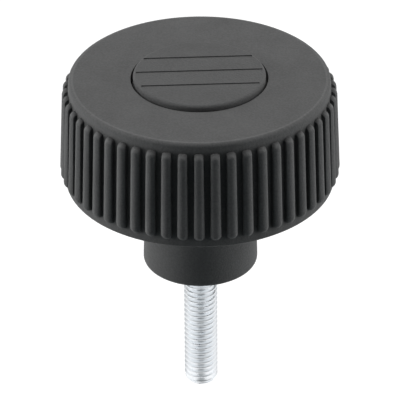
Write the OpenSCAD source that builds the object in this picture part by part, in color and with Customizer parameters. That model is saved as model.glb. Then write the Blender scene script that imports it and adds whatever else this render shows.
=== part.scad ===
// Knurled knob with a ribbed grip, a plug cap in its top face and a threaded stud.
// Millimetres. +Z points up out of the cap, the stud points down along -Z, and the origin is the
// middle of the hub's bearing face, where the stud leaves the hub.

/* [Grip] */
// Diameter of the plain drum at its top face
grip_d = 45.2; // [42:0.1:60]
// Height of the grip, from its lower edge to its top face
grip_h = 19.8; // [17:0.1:26]
// Draft by which the drum widens downwards, in degrees
grip_draft = 2.5; // [0.5:0.1:3]
// Rounding of the edge round the top face
top_edge_r = 0.7; // [0.2:0.05:1.2]
// Rounding of the grip's lower edge
low_edge_r = 0.4; // [0.2:0.05:0.8]

/* [Ribs] */
// Number of ribs round the grip
rib_count = 53; // [40:1:56]
// Radius of a rib's rounded crest
rib_r = 1.1; // [1:0.05:1.4]
// Height of a rib's crest above the drum
rib_proud = 1.02; // [0.7:0.01:1.1]
// Width of a rib at its upper end
rib_w_top = 1.5; // [1:0.05:1.7]
// Width of a rib at its lower end
rib_w_low = 1.85; // [1:0.05:1.9]
// Radius of the curve by which the crest drops at both ends of a rib
rib_nose_r = 1.2; // [1:0.1:2.6]
// Height by which the crest drops at both ends of a rib
rib_drop = 0.65; // [0.2:0.05:0.8]
// Plain band between the top face and the ribs' upper ends
band_top = 1.8; // [0.8:0.1:3]
// Plain band between the ribs' lower ends and the grip's lower edge
band_low = 1.6; // [0.8:0.1:3]

/* [Hub] */
// Diameter of the hub at its bearing face
hub_d = 20.2; // [19:0.1:24]
// Length of the hub below the grip's lower edge
hub_out = 16.65; // [8:0.05:24]
// Angle by which the hub widens towards its bearing face, in degrees
hub_flare = 1.5; // [0:0.1:2]
// Rounding of the hub's edge round its bearing face
hub_edge_r = 0.7; // [0.2:0.05:1.2]

/* [Underside] */
// Thickness of the top plate over the pockets of the underside
plate_t = 4.5; // [4:0.1:7]
// Wall of the rim behind the ribs
rim_t = 3; // [2.5:0.1:5]
// Number of webs between the hub and the rim
web_count = 6; // [3:1:8]
// Thickness of a web
web_t = 1.8; // [1.2:0.1:3]
// Height of the webs' lower edges above the grip's lower edge
web_up = 2; // [0.5:0.1:8]
// Fillet where the pockets meet the top plate
pocket_r = 1; // [0.3:0.1:2]

/* [Well] */
// Depth of the seat that the cap lies in
seat_depth = 2; // [1:0.1:3]
// Diameter of the well below the seat
well_d = 14; // [12:0.1:14.6]
// Floor between the well and the stud's anchor
well_floor = 2.5; // [1.5:0.1:5]

/* [Cap] */
// Diameter of the cap
cap_d = 22.9; // [17:0.1:27]
// Gap between the cap's edge and the wall of its seat
cap_gap = 0.42; // [0.1:0.01:0.8]
// Height by which the cap stands above the grip's top face
cap_proud = 0.9; // [0.3:0.1:2]
// Rounding of the cap's upper edge
cap_edge_r = 0.55; // [0.3:0.05:1.6]
// Number of parallel grooves across the cap
groove_count = 3; // [1:1:4]
// Distance from one groove to the next
groove_pitch = 4.8; // [3:0.05:5]
// Distance of the middle of the grooves from the middle of the cap
groove_shift = 0.7; // [-1:0.1:1]
// Width of a groove
groove_w = 0.75; // [0.4:0.05:1.5]
// Depth of a groove
groove_depth = 0.15; // [0.1:0.05:0.6]
// Turn of the grooves against the X axis, in degrees
groove_turn = 3; // [-10:0.1:10]

/* [Skirt] */
// Clearance between the cap's skirt and the wall of the well
skirt_gap = 0.1; // [0.05:0.01:0.2]
// Wall of the skirt
skirt_t = 1.2; // [1:0.1:2]
// Depth to which the skirt reaches below the cap's seat
skirt_len = 6; // [4:0.1:8]
// Number of slots that let the skirt spring inwards
slot_count = 4; // [2:1:6]
// Width of a slot
slot_w = 1.5; // [0.8:0.1:3]
// Radius of the snap bead round the skirt
bead_r = 0.6; // [0.4:0.05:0.8]
// Height by which the snap bead stands out of the skirt
bead_out = 0.3; // [0.2:0.05:0.35]
// Height of the snap bead above the skirt's lower end
bead_up = 1.4; // [1:0.1:2]

/* [Stud] */
// Outer diameter of the M6 thread
thread_d = 5.94; // [3.94:0.01:8]
// Length of the thread outside the hub
stud_out = 25.7; // [10:0.1:60]
// Length of the stud's plain end, which narrows towards its tip
lead_len = 1.5; // [0.5:0.1:4]
// Depth by which the plain end has narrowed all round at its tip
lead_in = 0.57; // [0.2:0.01:1.5]
// Width across the flats of the hexagonal anchor inside the hub
anchor_af = 10; // [9:0.1:12]
// Length of the anchor
anchor_len = 14; // [10:0.5:16]
// Depth of the locking groove turned into the anchor
lock_depth = 0.8; // [0.4:0.1:1.2]
// Width of the locking groove
lock_w = 4; // [2:0.5:6]

/* [Hidden] */
$fn = 96;
plastic = [0.29, 0.29, 0.30];
steel = [0.80, 0.81, 0.83];
overshoot = 1;                       // how far a cutter reaches past the face it opens
arc_steps = 6;                       // straight steps in an edge rounding
nose_steps = 4;                      // straight steps in the curved end of a rib

top_z = hub_out + grip_h;            // the grip's top face
ceiling_z = top_z - plate_t;         // the top of the pockets
seat_r = cap_d / 2 + cap_gap;
seat_z = top_z - seat_depth;
well_r = well_d / 2;
well_z = anchor_len + well_floor;    // the floor of the well

rib_nose_a = acos(1 - rib_drop / rib_nose_r);
rib_nose_len = rib_nose_r * sin(rib_nose_a);
rib_len = (grip_h - band_top - band_low) / cos(grip_draft);
rib_foot_z = hub_out + band_low;

skirt_r = well_r - skirt_gap;
skirt_z = seat_z - skirt_len;
bead_ring_r = skirt_r + bead_out - bead_r;   // the middle of the bead's round section
bead_z = skirt_z + bead_up;

// Points of an arc about c, from angle a0 to angle a1
function arc(c, r, a0, a1, steps = arc_steps) =
    [for (i = [0:steps]) let (a = a0 + (a1 - a0) * i / steps) c + r * [cos(a), sin(a)]];

// Radius, at height z, of a round wall that is r0 at height z0 and leans inwards by a as it rises
function wall_r(r0, z0, a, z) = r0 - (z - z0) * tan(a);

// Centre, at height z, of a circle of radius r that touches such a wall: side 1 outside, -1 inside
function touching(r0, z0, a, z, r, side) =
    [wall_r(r0, z0, a, z - side * r * sin(a)) + side * r * cos(a), z];

function drum_r(z) = wall_r(grip_d / 2, top_z, grip_draft, z);
function rim_r(z) = drum_r(z) - rim_t;
function hub_r(z) = wall_r(hub_d / 2, 0, hub_flare, z);

// Half section of the moulding without its ribs and webs: hub, pocket, rim, top face, seat and well
function body_section() = concat(
    [[0, 0]],
    arc(touching(hub_d / 2, 0, hub_flare, hub_edge_r, hub_edge_r, -1), hub_edge_r, -90, hub_flare),
    arc(touching(hub_d / 2, 0, hub_flare, ceiling_z - pocket_r, pocket_r, 1), pocket_r, 180 + hub_flare, 90),
    arc(touching(grip_d / 2 - rim_t, top_z, grip_draft, ceiling_z - pocket_r, pocket_r, -1),
        pocket_r, 90, grip_draft),
    [[rim_r(hub_out), hub_out]],
    arc(touching(grip_d / 2, top_z, grip_draft, hub_out + low_edge_r, low_edge_r, -1),
        low_edge_r, -90, grip_draft),
    arc(touching(grip_d / 2, top_z, grip_draft, top_z - top_edge_r, top_edge_r, -1),
        top_edge_r, grip_draft, 90),
    [[seat_r, top_z], [seat_r, seat_z], [well_r, seat_z], [well_r, well_z], [0, well_z]]);

// One rib: a bar with a rounded crest and domed ends, laid along the drum's sloping wall. Its two flanks
// stand square to the wall and spread downwards
module rib() {
    nose_c = rib_r - rib_nose_r;
    translate([drum_r(rib_foot_z) + (rib_proud - rib_r) / cos(grip_draft), 0, rib_foot_z])
        rotate([0, -grip_draft, 0])
            intersection() {
                rotate_extrude($fn = 32)
                    polygon(concat(
                        [[0, 0]],
                        arc([nose_c, rib_nose_len], rib_nose_r, -rib_nose_a, 0, nose_steps),
                        arc([nose_c, rib_len - rib_nose_len], rib_nose_r, 0, rib_nose_a, nose_steps),
                        [[0, rib_len]]));
                rotate([90, 0, 90])
                    linear_extrude(height = 3 * rib_r, center = true)
                        polygon([[-rib_w_low / 2, 0], [rib_w_low / 2, 0],
                                 [rib_w_top / 2, rib_len], [-rib_w_top / 2, rib_len]]);
            }
}

// The first rib faces -Y
module ribs() {
    for (i = [0:rib_count - 1])
        rotate(i * 360 / rib_count - 90) rib();
}

// The webs run from inside the hub's wall to inside the rim's wall, and the pockets lie between them
module webs() {
    web_z = hub_out + web_up;
    inner = hub_r(ceiling_z) - overshoot;
    outer = rim_r(web_z) + overshoot;
    for (i = [0:web_count - 1])
        rotate((i + 0.5) * 360 / web_count)
            translate([inner, -web_t / 2, web_z])
                cube([outer - inner, web_t, ceiling_z + overshoot - web_z]);
}

// The stud's hexagonal anchor with its locking groove. The hub is moulded round it
module anchor(below = 0) {
    difference() {
        translate([0, 0, -below])
            cylinder(h = anchor_len + below, d = anchor_af / cos(30), $fn = 6);
        translate([0, 0, (anchor_len - lock_w) / 2])
            difference() {
                cylinder(h = lock_w, r = anchor_af);
                translate([0, 0, -overshoot])
                    cylinder(h = lock_w + 2 * overshoot, d = anchor_af - 2 * lock_depth);
            }
    }
}

// Ring with a round section, for the snap bead and for the groove that it drops into
module snap_ring(r) {
    rotate_extrude()
        translate([bead_ring_r, bead_z]) circle(r = r, $fn = 32);
}

module knob_body() {
    color(plastic)
    difference() {
        union() {
            rotate_extrude() polygon(body_section());
            ribs();
            webs();
        }
        snap_ring(bead_r + skirt_gap);
        anchor(below = overshoot);
    }
}

// Half section of the cap's disc and its skirt
function cap_section() = concat(
    [[skirt_r - skirt_t, skirt_z], [skirt_r, skirt_z], [skirt_r, seat_z], [cap_d / 2, seat_z]],
    arc([cap_d / 2 - cap_edge_r, top_z + cap_proud - cap_edge_r], cap_edge_r, 0, 90),
    [[0, top_z + cap_proud], [0, seat_z], [skirt_r - skirt_t, seat_z]]);

module plug_cap() {
    slot_z = skirt_z - overshoot;
    color(plastic)
    difference() {
        union() {
            rotate_extrude() polygon(cap_section());
            snap_ring(bead_r);
        }
        for (i = [0:slot_count - 1])
            rotate((i + 0.5) * 360 / slot_count)
                translate([0, -slot_w / 2, slot_z])
                    cube([well_r + overshoot, slot_w, seat_z - slot_z]);
        rotate(groove_turn)
            for (i = [0:groove_count - 1])
                translate([-cap_d / 2 - overshoot,
                           groove_shift + (i - (groove_count - 1) / 2) * groove_pitch - groove_w / 2,
                           top_z + cap_proud - groove_depth])
                    cube([cap_d + 2 * overshoot, groove_w, groove_depth + overshoot]);
    }
}

module threaded_stud() {
    thread_r = thread_d / 2;
    color(steel)
    union() {
        anchor();
        rotate_extrude()
            polygon([[0, -stud_out], [thread_r - lead_in, -stud_out],
                     [thread_r, lead_len - stud_out], [thread_r, overshoot], [0, overshoot]]);
    }
}

knob_body();
plug_cap();
threaded_stud();
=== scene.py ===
# %% [markdown]
# # A ribbed clamping knob with a plug cap and a threaded stud
#
# The real thing is a dark plastic moulding with fine upright ribs round its rim, a round cap snapped into
# its top face and a zinc-plated steel stud moulded into its hub. The moulding comes ready made from the
# CAD frame, because its ribs, draft and hollow underside are construction. The cap and the stud are modelled
# here, because their looks depend on soft edges and on a true helical thread.

# %% Load the frame
import math

import bpy
from mathutils import Matrix, Vector


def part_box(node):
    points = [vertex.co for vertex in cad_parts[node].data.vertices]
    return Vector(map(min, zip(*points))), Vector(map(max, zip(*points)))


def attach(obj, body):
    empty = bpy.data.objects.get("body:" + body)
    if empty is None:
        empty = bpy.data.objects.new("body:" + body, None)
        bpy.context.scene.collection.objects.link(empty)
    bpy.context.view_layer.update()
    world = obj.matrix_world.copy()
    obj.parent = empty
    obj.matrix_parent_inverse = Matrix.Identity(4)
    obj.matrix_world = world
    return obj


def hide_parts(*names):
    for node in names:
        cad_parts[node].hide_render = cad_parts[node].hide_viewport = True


MM = 0.001

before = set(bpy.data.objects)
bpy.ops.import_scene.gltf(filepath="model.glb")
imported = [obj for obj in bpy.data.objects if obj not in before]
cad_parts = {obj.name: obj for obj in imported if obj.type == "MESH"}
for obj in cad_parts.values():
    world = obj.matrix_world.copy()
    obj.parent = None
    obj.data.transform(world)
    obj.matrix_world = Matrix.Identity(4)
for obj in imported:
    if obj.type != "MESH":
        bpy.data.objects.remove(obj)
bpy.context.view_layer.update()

# %% [markdown]
# ## Working the way a modeller works
#
# Blender's operators act on whatever is selected, and loading the frame leaves its nodes selected. So every
# step starts from an empty selection. The first helpers below select things, and they also pick faces and
# edges by their place, which is what a modeller does with the mouse. A select flag that is set in object
# mode becomes the selection of edit mode, so the flags are set there first.


# %% Helpers for selecting
def deselect_all():
    if bpy.context.object and bpy.context.object.mode != "OBJECT":
        bpy.ops.object.mode_set(mode="OBJECT")
    bpy.ops.object.select_all(action="DESELECT")


def work_on(obj):
    deselect_all()
    obj.select_set(True)
    bpy.context.view_layer.objects.active = obj


def edit(obj, mode="FACE"):
    """Goes to edit mode with nothing selected."""
    work_on(obj)
    bpy.ops.object.mode_set(mode="EDIT")
    bpy.ops.mesh.select_mode(type=mode)
    bpy.ops.mesh.select_all(action="DESELECT")


def edit_all(obj, mode="FACE"):
    """Goes to edit mode with everything selected."""
    edit(obj, mode)
    bpy.ops.mesh.select_all(action="SELECT")


def leave_edit():
    bpy.ops.object.mode_set(mode="OBJECT")


def pick_faces(obj, test):
    """Goes to edit mode with only the faces selected whose middle and normal pass the test."""
    edit(obj, "FACE")
    leave_edit()
    for face in obj.data.polygons:
        face.select = test(face.center, face.normal)
    bpy.ops.object.mode_set(mode="EDIT")


def pick_edges(obj, test):
    """Goes to edit mode with only the edges selected whose two ends both pass the test."""
    edit(obj, "EDGE")
    leave_edit()
    points = obj.data.vertices
    for edge in obj.data.edges:
        edge.select = all(test(points[i].co) for i in edge.vertices)
    bpy.ops.object.mode_set(mode="EDIT")


# %% [markdown]
# The other helpers finish what was modelled. A modifier is applied as soon as it has done its work, and a
# finished piece keeps its place in its mesh, with the object itself at the origin. A closed mesh uses each
# edge exactly twice, so counting the edges that don't shows at once whether a cut or a union left a hole.


# %% Helpers for applying and counting
def settle(obj, name):
    """Names a piece and moves its place into its mesh."""
    work_on(obj)
    bpy.ops.object.transform_apply(location=True, rotation=True, scale=True)
    obj.name = name
    obj.data.name = name
    return obj


def apply_boolean(obj, tool, operation):
    """Cuts or joins obj with the tool, which is used up."""
    work_on(obj)
    boolean = obj.modifiers.new("Boolean", "BOOLEAN")
    boolean.operation = operation
    boolean.solver = "EXACT"
    boolean.object = tool
    bpy.ops.object.modifier_apply(modifier=boolean.name)
    bpy.data.objects.remove(tool)
    return obj


def report(obj):
    obj.data.calc_loop_triangles()
    uses = {}
    for face in obj.data.polygons:
        for key in face.edge_keys:
            uses[key] = uses.get(key, 0) + 1
    open_edges = sum(1 for count in uses.values() if count != 2)
    print(f"{obj.name}: {len(obj.data.loop_triangles)} triangles, {open_edges} open edges")


# %% [markdown]
# ## The stud's thread
#
# The stud is M6, so one turn climbs 1 mm and the groove is 0.61 mm deep between flanks that stand at 60
# degrees to each other. A texture could fake the lines, but the outline would stay straight and the steel
# wouldn't glint from flank to flank. So the thread is a true helix: one tooth is drawn point by point with
# vertex extrusion, and the Screw modifier carries it round and up the stud. It is wound a little too long at
# both ends and then cut off square with bisect, which also closes it.

# %% Sizes of the thread
stud_low, stud_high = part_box("threaded_stud")
PITCH = 1.0 * MM
THREAD_DEPTH = 0.6134 * PITCH          # as on every metric screw
FLANK_TILT = math.radians(30)          # half the angle between two flanks
CREST_R = 2.97 * MM
ROOT_R = CREST_R - THREAD_DEPTH
FLANK_RUN = THREAD_DEPTH * math.tan(FLANK_TILT)
CREST_FLAT = PITCH / 8
ROOT_FLAT = PITCH - CREST_FLAT - 2 * FLANK_RUN
SOFT = 0.04 * MM                       # how far the crest's and the root's corners are rounded off
TIP_Z = stud_low.z
BURIED = 0.5 * MM                      # how far the thread reaches up into the anchor
print("flats in mm: crest", round(CREST_FLAT / MM, 3), "root", round(ROOT_FLAT / MM, 3))

# %% The steps of one tooth, from the middle of one root to the middle of the next
FLANK_PARTS = 4
part_out = (THREAD_DEPTH - 2 * SOFT) / FLANK_PARTS
part_up = (FLANK_RUN - 2 * SOFT) / FLANK_PARTS
tooth_steps = [
    (0, 0, ROOT_FLAT / 2),
    (SOFT, 0, SOFT),
    *[(part_out, 0, part_up)] * FLANK_PARTS,
    (SOFT, 0, SOFT),
    (0, 0, CREST_FLAT),
    (-SOFT, 0, SOFT),
    *[(-part_out, 0, part_up)] * FLANK_PARTS,
    (-SOFT, 0, SOFT),
    (0, 0, ROOT_FLAT / 2),
]
climb = sum(step[2] for step in tooth_steps)
print("steps in a tooth:", len(tooth_steps), "climbing in mm:", round(climb / MM, 3))


# %% Draw the tooth
def draw_chain(start, steps):
    """A string of edges from start, each vertex extruded from the last; a merged plane gives the first."""
    deselect_all()
    bpy.ops.mesh.primitive_plane_add(size=MM)
    chain = bpy.context.object
    edit_all(chain, "VERT")
    bpy.ops.mesh.merge(type="CENTER")
    bpy.ops.transform.translate(value=start)
    for step in steps:
        bpy.ops.mesh.extrude_region_move(TRANSFORM_OT_translate={"value": step})
    leave_edit()
    return chain


THREAD_START = TIP_Z - 1.5 * PITCH     # below the tip, so that every turn is whole where it is cut off
stud = draw_chain((ROOT_R, 0, THREAD_START), tooth_steps)
print("points in the tooth:", len(stud.data.vertices))

# %% Wind it into a helix
THREAD_STEPS = 64
TURNS = math.ceil((BURIED - THREAD_START) / PITCH) + 1
WELD = 0.001 * MM

work_on(stud)
screw = stud.modifiers.new("Thread", "SCREW")
screw.axis = "Z"
screw.angle = 2 * math.pi
screw.screw_offset = PITCH
screw.iterations = TURNS
screw.steps = THREAD_STEPS
screw.render_steps = THREAD_STEPS
bpy.ops.object.modifier_apply(modifier="Thread")
edit_all(stud, "VERT")
bpy.ops.mesh.remove_doubles(threshold=WELD)
leave_edit()
stud = settle(stud, "stud")
report(stud)

# %% Cut both ends off square
CUT_TOLERANCE = 0.0001 * MM


def cut_off(obj, height, above):
    """Cuts a piece at a height, throws away what is above or below, and closes the cut."""
    edit_all(obj)
    bpy.ops.mesh.bisect(plane_co=(0, 0, height), plane_no=(0, 0, 1), use_fill=True,
                        clear_outer=above, clear_inner=not above, threshold=CUT_TOLERANCE)
    leave_edit()


cut_off(stud, TIP_Z, above=False)
cut_off(stud, BURIED, above=True)
edit_all(stud)
bpy.ops.mesh.normals_make_consistent(inside=False)
leave_edit()
report(stud)

# %% [markdown]
# ## The stud's end and its anchor
#
# A rolled thread doesn't stop dead. Its grooves get shallower over the last turns, and the end narrows to a
# small flat so that a nut finds its way on. Both come from one loop over the mesh: at each height a point may
# stand no further out than the narrowing outline and no further in than the rising bottom of the groove.
# Inside the hub the stud has a hexagonal head with a turned neck, round which the plastic is moulded.

# %% Let the thread run out and narrow the tip
LEAD = 0.8 * MM                        # the length of the narrowed end
TIP_R = CREST_R - 0.57 * MM
RUN_OUT = 5.0 * MM                     # the groove is at its full depth this far above the tip
FAINT = 0.18 * MM                      # the depth that is left of it where the narrowed end begins


def slide(z, low, high, at_low, at_high):
    """A value that goes evenly from at_low to at_high between two heights."""
    part = min(max((z - low) / (high - low), 0), 1)
    return at_low + (at_high - at_low) * part


for point in stud.data.vertices:
    z = point.co.z
    most = slide(z, TIP_Z, TIP_Z + LEAD, TIP_R, CREST_R)
    groove = slide(z, TIP_Z + LEAD, TIP_Z + RUN_OUT, FAINT, THREAD_DEPTH)
    radius = point.co.xy.length
    wanted = min(max(radius, most - groove), most)
    point.co.x *= wanted / radius
    point.co.y *= wanted / radius
report(stud)

# %% Turn and mill the anchor
ANCHOR_AF = 10 * MM
ANCHOR_CORNER_R = ANCHOR_AF / 2 / math.cos(math.radians(30))
ANCHOR_LEN = stud_high.z
CORNER_ALONG_X = math.radians(-90)     # a new six-sided cylinder has its corners along Y
NECK_W = 4 * MM
NECK_DEPTH = 0.8 * MM                  # below the hexagon's flats
NECK_R = ANCHOR_AF / 2 - NECK_DEPTH
NECK_SIDES = 48
NECK_OVERLAP = 1 * MM                  # how far the neck reaches into the hexagon at each end


def hexagon(low_z, high_z):
    deselect_all()
    bpy.ops.mesh.primitive_cylinder_add(vertices=6, radius=ANCHOR_CORNER_R, depth=high_z - low_z,
                                        location=(0, 0, (low_z + high_z) / 2))
    block = bpy.context.object
    block.rotation_euler.z = CORNER_ALONG_X
    return settle(block, "anchor")


anchor = hexagon(0, (ANCHOR_LEN - NECK_W) / 2)
upper = hexagon((ANCHOR_LEN + NECK_W) / 2, ANCHOR_LEN)
deselect_all()
bpy.ops.mesh.primitive_cylinder_add(vertices=NECK_SIDES, radius=NECK_R, depth=NECK_W + 2 * NECK_OVERLAP,
                                    location=(0, 0, ANCHOR_LEN / 2))
neck = settle(bpy.context.object, "neck")
apply_boolean(anchor, neck, "UNION")
apply_boolean(anchor, upper, "UNION")
report(anchor)

# %% Join the anchor to the thread
STUD_SMOOTH = math.radians(25)         # edges flatter than this are shaded smooth

apply_boolean(stud, anchor, "UNION")
work_on(stud)
bpy.ops.object.shade_smooth_by_angle(angle=STUD_SMOOTH)
settle(stud, "stud")
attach(stud, "root")
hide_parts("threaded_stud")
report(stud)

# %% [markdown]
# ## The plug cap
#
# The cap is a small moulding of its own: a disc with a well-rounded edge, a slotted skirt that springs into
# the well below it, and three shallow straight grooves across the top. It starts as a short cylinder whose
# rim is bevelled. The skirt grows out of its underside by inset and extrude, as it would in a mould. The bead
# that snaps into the well is a torus joined to the skirt, and slots and grooves are cut with plain blocks.

# %% Shape the disc
cap_low, cap_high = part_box("plug_cap")
CAP_R = cap_high.x
CAP_SIDES = 160
CAP_EDGE = 0.55 * MM
CAP_EDGE_STEPS = 10
DISC = 2.9 * MM
SEAT_Z = cap_high.z - DISC
AT_TOP = cap_high.z - 0.1 * MM         # what lies above this belongs to the top face

deselect_all()
bpy.ops.mesh.primitive_cylinder_add(vertices=CAP_SIDES, radius=CAP_R, depth=DISC,
                                    location=(0, 0, cap_high.z - DISC / 2))
cap = settle(bpy.context.object, "cap")
pick_edges(cap, lambda co: co.z > AT_TOP)
bpy.ops.mesh.bevel(offset=CAP_EDGE, offset_type="OFFSET", segments=CAP_EDGE_STEPS, profile=0.5)
leave_edit()
report(cap)

# %% Grow the skirt out of the underside
SKIRT_R = 6.9 * MM
SKIRT_WALL = 1.2 * MM
DOWNWARD = -0.9                        # a face whose normal has a lower z than this looks down


def underside(middle, normal):
    return normal.z < DOWNWARD


def skirt_ring(middle, normal):
    return underside(middle, normal) and SKIRT_R - SKIRT_WALL < middle.xy.length < SKIRT_R


pick_faces(cap, underside)
bpy.ops.mesh.inset(thickness=CAP_R - SKIRT_R)
bpy.ops.mesh.inset(thickness=SKIRT_WALL)
pick_faces(cap, skirt_ring)
bpy.ops.mesh.extrude_region_move(TRANSFORM_OT_translate={"value": (0, 0, cap_low.z - SEAT_Z)})
leave_edit()
report(cap)

# %% Add the snap bead
BEAD_R = 0.6 * MM
BEAD_OUT = 0.3 * MM                    # how far it stands out of the skirt
BEAD_UP = 1.4 * MM
BEAD_SIDES = 96
BEAD_STEPS = 16
BEAD_TURN = math.radians(1)            # keeps the bead's corners off the skirt's, where slivers would form

deselect_all()
bpy.ops.mesh.primitive_torus_add(major_radius=SKIRT_R + BEAD_OUT - BEAD_R, minor_radius=BEAD_R,
                                 major_segments=BEAD_SIDES, minor_segments=BEAD_STEPS,
                                 location=(0, 0, cap_low.z + BEAD_UP), rotation=(0, 0, BEAD_TURN))
apply_boolean(cap, settle(bpy.context.object, "bead"), "UNION")
report(cap)

# %% Cut the slots that let the skirt spring
SLOTS = 4
SLOT_W = 1.5 * MM
SLOT_REACH = 4 * MM                    # goes through the wall and the bead
SLOT_TOP = SEAT_Z + 0.05 * MM          # a cut that ended level with the disc would leave doubled faces
SLOT_BOTTOM = cap_low.z - 1 * MM

for i in range(SLOTS):
    deselect_all()
    angle = math.radians((i + 0.5) * 360 / SLOTS)
    middle = Vector((math.cos(angle), math.sin(angle), 0)) * SKIRT_R
    middle.z = (SLOT_TOP + SLOT_BOTTOM) / 2
    bpy.ops.mesh.primitive_cube_add(size=1, location=middle, rotation=(0, 0, angle),
                                    scale=(SLOT_REACH, SLOT_W, SLOT_TOP - SLOT_BOTTOM))
    apply_boolean(cap, settle(bpy.context.object, "slot"), "DIFFERENCE")
report(cap)

# %% Cut the three grooves
GROOVES = 3
GROOVE_PITCH = 4.8 * MM
GROOVE_SHIFT = 0.7 * MM                # the middle one lies this far behind the cap's middle
GROOVE_W = 0.75 * MM
GROOVE_DEPTH = 0.18 * MM
GROOVE_TURN = math.radians(3)
GROOVE_REACH = 10.9 * MM               # the grooves run out where the cap's edge begins to round off

side = Vector((-math.sin(GROOVE_TURN), math.cos(GROOVE_TURN), 0))
for i in range(GROOVES):
    deselect_all()
    across = GROOVE_SHIFT + (i - (GROOVES - 1) / 2) * GROOVE_PITCH
    middle = side * across + Vector((0, 0, cap_high.z))
    length = 2 * math.sqrt(GROOVE_REACH ** 2 - across ** 2)
    bpy.ops.mesh.primitive_cube_add(size=1, location=middle, rotation=(0, 0, GROOVE_TURN),
                                    scale=(length, GROOVE_W, 2 * GROOVE_DEPTH))
    apply_boolean(cap, settle(bpy.context.object, "groove"), "DIFFERENCE")
report(cap)

# %% Finish the cap
CAP_SMOOTH = math.radians(28)          # edges flatter than this are shaded smooth

work_on(cap)
bpy.ops.object.shade_smooth_by_angle(angle=CAP_SMOOTH)
settle(cap, "cap")
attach(cap, "root")
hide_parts("plug_cap")
report(cap)

# %% [markdown]
# ## Moulded plastic
#
# The knob is filled nylon, a dark neutral grey. A mould for such a part is spark-eroded, which leaves a fine
# even grain, so the gloss is broken up and the edges look soft. One fine noise makes the grain as bump and as
# a slight speckle of the grey, and a broad faint one shifts the grey a little, as uneven cooling does.


# %% Helpers for materials
def new_material(name):
    material = bpy.data.materials.new(name)
    material.use_nodes = True
    nodes = material.node_tree.nodes
    return material, nodes, material.node_tree.links, nodes["Principled BSDF"]


def plug(links, node, index, value):
    """Sets an input to a number, or links it where the value is another node's output."""
    if isinstance(value, bpy.types.NodeSocket):
        links.new(value, node.inputs[index])
    else:
        node.inputs[index].default_value = value


def math_node(nodes, links, operation, first, second):
    node = nodes.new("ShaderNodeMath")
    node.operation = operation
    plug(links, node, 0, first)
    plug(links, node, 1, second)
    return node.outputs[0]


def ranged(nodes, links, value, low, high, at_low, at_high):
    """Maps a value smoothly from one range to another, and no further."""
    node = nodes.new("ShaderNodeMapRange")
    node.interpolation_type = "SMOOTHSTEP"
    for name, number in (("From Min", low), ("From Max", high), ("To Min", at_low), ("To Max", at_high)):
        node.inputs[name].default_value = number
    links.new(value, node.inputs["Value"])
    return node.outputs["Result"]


def hump(nodes, links, value, rise, fall, height=1):
    """Is 0 at both ends and height between, with smooth slopes over the two spans rise and fall."""
    up = ranged(nodes, links, value, *rise, 0, height)
    down = ranged(nodes, links, value, *fall, 1, 0)
    return math_node(nodes, links, "MULTIPLY", up, down)


def add_noise(nodes, links, place, scale, detail):
    noise = nodes.new("ShaderNodeTexNoise")
    noise.inputs["Scale"].default_value = scale
    noise.inputs["Detail"].default_value = detail
    links.new(place.outputs["Object"], noise.inputs["Vector"])
    return noise.outputs["Fac"]


def two_tones(nodes, links, value, low, high, at_low, at_high):
    """A ramp from one colour to another."""
    ramp = nodes.new("ShaderNodeValToRGB")
    first, last = ramp.color_ramp.elements
    first.position = low
    first.color = (*at_low, 1)
    last.position = high
    last.color = (*at_high, 1)
    links.new(value, ramp.inputs["Fac"])
    return ramp.outputs["Color"]


# %% [markdown]
# The grey is painted darker in the valleys between the ribs as painted shade, and paler on the shoulders of
# the ribs as painted highlights; a thin band along the edge round the top face is painted paler too. All
# three are drawn from how far a point stands out of the drum that carries the ribs, so they stay in their
# places from every side. The drum widens downwards with the draft.

# %% Where the plastic's grey is painted darker and paler
GRIP_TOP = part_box("knob_body")[1].z
DRUM_R = 22.6 * MM                     # the drum between the ribs, at the top face
DRAFT = math.radians(2.5)
RIBS_LOW = (17.6 * MM, 19.6 * MM)      # heights over which the valleys begin
RIBS_HIGH = (34.3 * MM, 35.3 * MM)     # and end
TOP_EDGE = (GRIP_TOP - 0.3 * MM, GRIP_TOP - 0.1 * MM)

VALLEY_SHADE = -0.35                         # the share of the grey that is lost in the valleys, as painted shade
VALLEY_FROM = (-0.3 * MM, -0.1 * MM)   # each span is a distance out of the drum
VALLEY_TO = (0.05 * MM, 0.75 * MM)
SHOULDER_HIGHLIGHT = 0.2                         # the share that is gained on the shoulders, as a painted highlight
SHOULDER_FROM = (0.45 * MM, 0.8 * MM)
SHOULDER_TO = (0.85 * MM, 0.97 * MM)
RIM = 0.25                             # and on the edge round the top face
RIM_FROM = (-0.95 * MM, -0.75 * MM)
RIM_TO = (-0.6 * MM, -0.4 * MM)
print("top of the grip in mm:", round(GRIP_TOP / MM, 2))


# %% The nodes that paint the shade in the valleys and the paler edges
def out_of_drum(nodes, links, axes):
    """How far a point stands out of the drafted drum."""
    flat = nodes.new("ShaderNodeCombineXYZ")
    links.new(axes.outputs["X"], flat.inputs["X"])
    links.new(axes.outputs["Y"], flat.inputs["Y"])
    length = nodes.new("ShaderNodeVectorMath")
    length.operation = "LENGTH"
    links.new(flat.outputs[0], length.inputs[0])
    drop = math_node(nodes, links, "SUBTRACT", GRIP_TOP, axes.outputs["Z"])
    widening = math_node(nodes, links, "MULTIPLY", drop, math.tan(DRAFT))
    drum = math_node(nodes, links, "ADD", widening, DRUM_R)
    return math_node(nodes, links, "SUBTRACT", length.outputs["Value"], drum)


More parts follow.
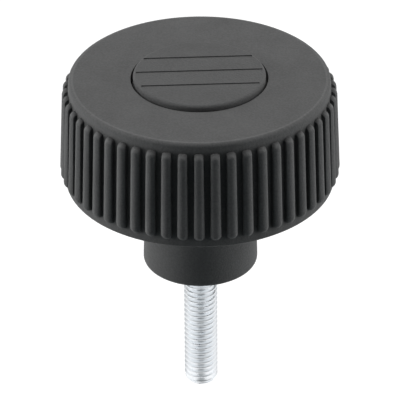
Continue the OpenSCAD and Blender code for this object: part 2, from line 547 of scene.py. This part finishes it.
def painted_shade_and_paler_edges(nodes, links, place):
    """How much of the grey is left: under 1 in the valleys as painted shade, over 1 on the rib shoulders as
    painted highlights and on the top edge, and 1 elsewhere.
    """
    axes = nodes.new("ShaderNodeSeparateXYZ")
    links.new(place.outputs["Object"], axes.inputs[0])
    proud = out_of_drum(nodes, links, axes)
    valleys = hump(nodes, links, proud, VALLEY_FROM, VALLEY_TO, VALLEY_SHADE)
    shoulders = hump(nodes, links, proud, SHOULDER_FROM, SHOULDER_TO, SHOULDER_HIGHLIGHT)
    on_ribs = math_node(nodes, links, "ADD", valleys, shoulders)
    ribs = hump(nodes, links, axes.outputs["Z"], RIBS_LOW, RIBS_HIGH)
    on_ribs = math_node(nodes, links, "MULTIPLY", on_ribs, ribs)
    on_rim = hump(nodes, links, proud, RIM_FROM, RIM_TO, RIM)
    top = ranged(nodes, links, axes.outputs["Z"], *TOP_EDGE, 0, 1)
    on_rim = math_node(nodes, links, "MULTIPLY", on_rim, top)
    change = math_node(nodes, links, "ADD", on_ribs, on_rim)
    return math_node(nodes, links, "ADD", change, 1)


# %% The plastic's nodes
CLOUD_SCALE = 160
CLOUD_DETAIL = 3
GRAIN_SCALE = 2900
GRAIN_DETAIL = 2
SPECKLE_SHARE = 0.6                    # the grain's share in the grey, against the cloud's
TONE_LOW, TONE_HIGH = 0.35, 0.65
GRAIN_HEIGHT = 0.06 * MM
PLASTIC_ROUGHNESS = 0.6
PLASTIC_SPECULAR = 0.12


def moulded_plastic(name, dark, light, ribbed):
    material, nodes, links, shader = new_material(name)
    place = nodes.new("ShaderNodeTexCoord")
    cloud = add_noise(nodes, links, place, CLOUD_SCALE, CLOUD_DETAIL)
    grain = add_noise(nodes, links, place, GRAIN_SCALE, GRAIN_DETAIL)
    speckle = math_node(nodes, links, "MULTIPLY", grain, SPECKLE_SHARE)
    tone = math_node(nodes, links, "MULTIPLY", cloud, 1 - SPECKLE_SHARE)
    tone = math_node(nodes, links, "ADD", tone, speckle)
    colour = two_tones(nodes, links, tone, TONE_LOW, TONE_HIGH, dark, light)
    # the ribbed body's grey is scaled by its painted shade in the valleys and its paler edges
    if ribbed:
        shade = nodes.new("ShaderNodeVectorMath")
        shade.operation = "SCALE"
        links.new(colour, shade.inputs[0])
        links.new(painted_shade_and_paler_edges(nodes, links, place), shade.inputs["Scale"])
        colour = shade.outputs[0]
    links.new(colour, shader.inputs["Base Color"])
    bump = nodes.new("ShaderNodeBump")
    bump.inputs["Strength"].default_value = 1.0
    bump.inputs["Distance"].default_value = GRAIN_HEIGHT
    links.new(grain, bump.inputs["Height"])
    links.new(bump.outputs["Normal"], shader.inputs["Normal"])
    shader.inputs["Roughness"].default_value = PLASTIC_ROUGHNESS
    shader.inputs["Specular IOR Level"].default_value = PLASTIC_SPECULAR
    return material


body_plastic = moulded_plastic("body_plastic", (0.105, 0.105, 0.105), (0.137, 0.137, 0.137), ribbed=True)
cap_plastic = moulded_plastic("cap_plastic", (0.102, 0.102, 0.102), (0.128, 0.128, 0.128), ribbed=False)
print("plastics:", body_plastic.name, cap_plastic.name)

# %% [markdown]
# ## Zinc plate
#
# Bright zinc is a metal with a cool cast and a soft mirror. Plating in a barrel leaves it slightly uneven, so
# the same patches make the colour drift between two cool whites and the roughness wander between two values.

# %% The zinc's nodes
PATCH_SCALE = 900
PATCH_DETAIL = 3
PATCH_LOW, PATCH_HIGH = 0.3, 0.7
ZINC_COOL = (0.84, 0.87, 0.90)
ZINC_PALE = (0.87, 0.89, 0.91)
ZINC_SLEEK, ZINC_DULL = 0.27, 0.32     # roughness


def zinc_plate(name):
    material, nodes, links, shader = new_material(name)
    place = nodes.new("ShaderNodeTexCoord")
    patches = add_noise(nodes, links, place, PATCH_SCALE, PATCH_DETAIL)
    tint = two_tones(nodes, links, patches, PATCH_LOW, PATCH_HIGH, ZINC_COOL, ZINC_PALE)
    links.new(tint, shader.inputs["Base Color"])
    roughness = ranged(nodes, links, patches, PATCH_LOW, PATCH_HIGH, ZINC_SLEEK, ZINC_DULL)
    links.new(roughness, shader.inputs["Roughness"])
    shader.inputs["Metallic"].default_value = 1.0
    return material


zinc = zinc_plate("zinc_plate")
print("metal:", zinc.name)


# %% Put the finishes on
def finish_with(obj, material):
    obj.data.materials.clear()
    obj.data.materials.append(material)


finish_with(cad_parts["knob_body"], body_plastic)
finish_with(cap, cap_plastic)
finish_with(stud, zinc)

# %% [markdown]
# ## The camera
#
# The knob is seen from about 31 degrees above, through a long lens from 0.6 m away, which keeps its round
# rims nearly free of perspective. The camera is placed from that distance and angle round a point on the
# knob's axis, then aimed a little lower so that the stud's tip is in the frame.

# %% Place the camera
EYE_DISTANCE = 0.6
EYE_HEIGHT = math.radians(30.88)
EYE_SIDE = math.radians(0.45)
PIVOT_Z = 19.4 * MM
AIM_X = -0.03 * MM
AIM_Z = 11.8 * MM
ROLL = -0.006                          # in radians
LENS = 309.5                           # in millimetres, as is the sensor's width
SENSOR = 36
CLIP_NEAR, CLIP_FAR = 0.05, 20


def direction(turn, lift):
    """A step of length 1 away from the knob: turn 0 is in front and 90 degrees is on the right."""
    return Vector((math.sin(turn) * math.cos(lift), -math.cos(turn) * math.cos(lift), math.sin(lift)))


eye = direction(EYE_SIDE, EYE_HEIGHT) * EYE_DISTANCE + Vector((0, 0, PIVOT_Z))
deselect_all()
bpy.ops.object.camera_add(location=eye)
camera = bpy.context.object
look = (Vector((AIM_X, 0, AIM_Z)) - eye).to_track_quat("-Z", "Y").to_matrix()
camera.rotation_euler = (look @ Matrix.Rotation(ROLL, 3, "Z")).to_euler()
camera.data.lens = LENS
camera.data.sensor_width = SENSOR
camera.data.clip_start = CLIP_NEAR
camera.data.clip_end = CLIP_FAR
bpy.context.scene.camera = camera
print("camera at", [round(value, 4) for value in eye])

# %% [markdown]
# ## Studio
#
# A bright stud and a dark ribbed grip ask for different things. The stud is drawn by what it reflects, so the
# room is white on all sides but much dimmer in front, where somebody would stand, which gives the stud its
# grey stripe down the middle. Behind it is a little dimmer too, which gives its sides a thin outline.
#
# The grip is drawn by the light that falls on it. Two large soft boxes at the sides and three weaker ones
# above light the flanks of the ribs and leave the valleys dark. The pale floor lies well below the hanging
# stud. It and the world are white only where the camera, a reflection or glass looks at them. They throw
# little light back, or the ribs would look flat.

# %% White for the camera, and by direction for reflections
FRONT_WHITE = 0.12                     # how white reflections see the room in front
FRONT_SPAN = (-0.87, -0.76)            # the y of a direction over which the room gets white
BACK_WHITE = 0.6
BACK_SPAN = (0.55, 0.8)


def white_share(nodes, links, toward):
    """How white a place looks: fully to the camera and through glass, and to reflections by direction."""
    axes = nodes.new("ShaderNodeSeparateXYZ")
    links.new(toward, axes.inputs[0])
    front = ranged(nodes, links, axes.outputs["Y"], *FRONT_SPAN, FRONT_WHITE, 1)
    back = ranged(nodes, links, axes.outputs["Y"], *BACK_SPAN, 1, BACK_WHITE)
    rays = nodes.new("ShaderNodeLightPath").outputs
    share = math_node(nodes, links, "MULTIPLY", rays["Is Glossy Ray"], front)
    share = math_node(nodes, links, "MULTIPLY", share, back)
    share = math_node(nodes, links, "MAXIMUM", share, rays["Is Camera Ray"])
    return math_node(nodes, links, "MAXIMUM", share, rays["Is Transmission Ray"])


# %% The floor's material
FLOOR_COLOUR = (0.07, 0.10, 0.11, 1)   # what the floor throws back as light
FLOOR_ROUGHNESS = 0.9
SEEN_COLOUR = (0.45, 0.45, 0.45, 1)    # what is looked at: this part takes the knob's shadow
SEEN_GLOW = 0.75                       # and this part keeps the far floor white


def pale_floor(name):
    material, nodes, links, shader = new_material(name)
    shader.inputs["Base Color"].default_value = FLOOR_COLOUR
    shader.inputs["Roughness"].default_value = FLOOR_ROUGHNESS
    place = nodes.new("ShaderNodeTexCoord")
    toward = nodes.new("ShaderNodeVectorMath")
    toward.operation = "NORMALIZE"
    links.new(place.outputs["Object"], toward.inputs[0])
    pale = nodes.new("ShaderNodeBsdfDiffuse")
    pale.inputs["Color"].default_value = SEEN_COLOUR
    glow = nodes.new("ShaderNodeEmission")
    glow.inputs["Strength"].default_value = SEEN_GLOW
    seen = nodes.new("ShaderNodeAddShader")
    links.new(pale.outputs[0], seen.inputs[0])
    links.new(glow.outputs[0], seen.inputs[1])
    mix = nodes.new("ShaderNodeMixShader")
    links.new(white_share(nodes, links, toward.outputs[0]), mix.inputs["Fac"])
    links.new(shader.outputs[0], mix.inputs[1])
    links.new(seen.outputs[0], mix.inputs[2])
    links.new(mix.outputs[0], nodes["Material Output"].inputs["Surface"])
    material.cycles.emission_sampling = "NONE"
    return material


# %% Lay the floor
FLOOR_Z = -0.12
FLOOR_SIZE = 4

deselect_all()
bpy.ops.mesh.primitive_plane_add(size=FLOOR_SIZE, location=(0, 0, FLOOR_Z))
floor = settle(bpy.context.object, "floor")
finish_with(floor, pale_floor("pale_floor"))
print("floor", round((stud_low.z - FLOOR_Z) / MM, 1), "mm below the stud's tip")

# %% Soft boxes
LAMP_DISTANCE = 0.8
LAMP_SIDE = 0.5
LIT_POINT = Vector((0, 0, 12 * MM))


def soft_box(name, azimuth, elevation, watts):
    """A square lamp that looks at the knob; azimuth 0 is in front and 90 is on the right."""
    toward = direction(math.radians(azimuth), math.radians(elevation))
    deselect_all()
    bpy.ops.object.light_add(type="AREA", location=toward * LAMP_DISTANCE + LIT_POINT)
    lamp = bpy.context.object
    lamp.name = name
    lamp.data.shape = "SQUARE"
    lamp.data.size = LAMP_SIDE
    lamp.data.energy = watts
    lamp.visible_glossy = False
    lamp.rotation_euler = (-toward).to_track_quat("-Z", "Y").to_euler()
    return lamp


lamps = [
    soft_box("left_box", 272, 0, 5.9),
    soft_box("right_box", 88, 0, 4.1),
    soft_box("left_high_box", 270, 55, 1.95),
    soft_box("right_high_box", 90, 55, 1.95),
    soft_box("back_box", 180, 55, 1.9),
]
print("lamps:", [lamp.name for lamp in lamps])

# %% World
ROOM_COLOUR = (0.7, 1.0, 1.1, 1)
ROOM_STRENGTH = 0.02
WHITE = (1, 1, 1, 1)

world = bpy.data.worlds.new("studio")
bpy.context.scene.world = world
world.use_nodes = True
world.cycles.sampling_method = "NONE"
nodes = world.node_tree.nodes
links = world.node_tree.links
nodes.clear()
room = nodes.new("ShaderNodeBackground")
room.inputs["Color"].default_value = ROOM_COLOUR
room.inputs["Strength"].default_value = ROOM_STRENGTH
white = nodes.new("ShaderNodeBackground")
white.inputs["Color"].default_value = WHITE
white.inputs["Strength"].default_value = 1.0
place = nodes.new("ShaderNodeTexCoord")
mix = nodes.new("ShaderNodeMixShader")
links.new(white_share(nodes, links, place.outputs["Generated"]), mix.inputs["Fac"])
links.new(room.outputs[0], mix.inputs[1])
links.new(white.outputs[0], mix.inputs[2])
out = nodes.new("ShaderNodeOutputWorld")
links.new(mix.outputs[0], out.inputs["Surface"])
bpy.context.scene.view_settings.view_transform = "Standard"
print("world:", world.name)
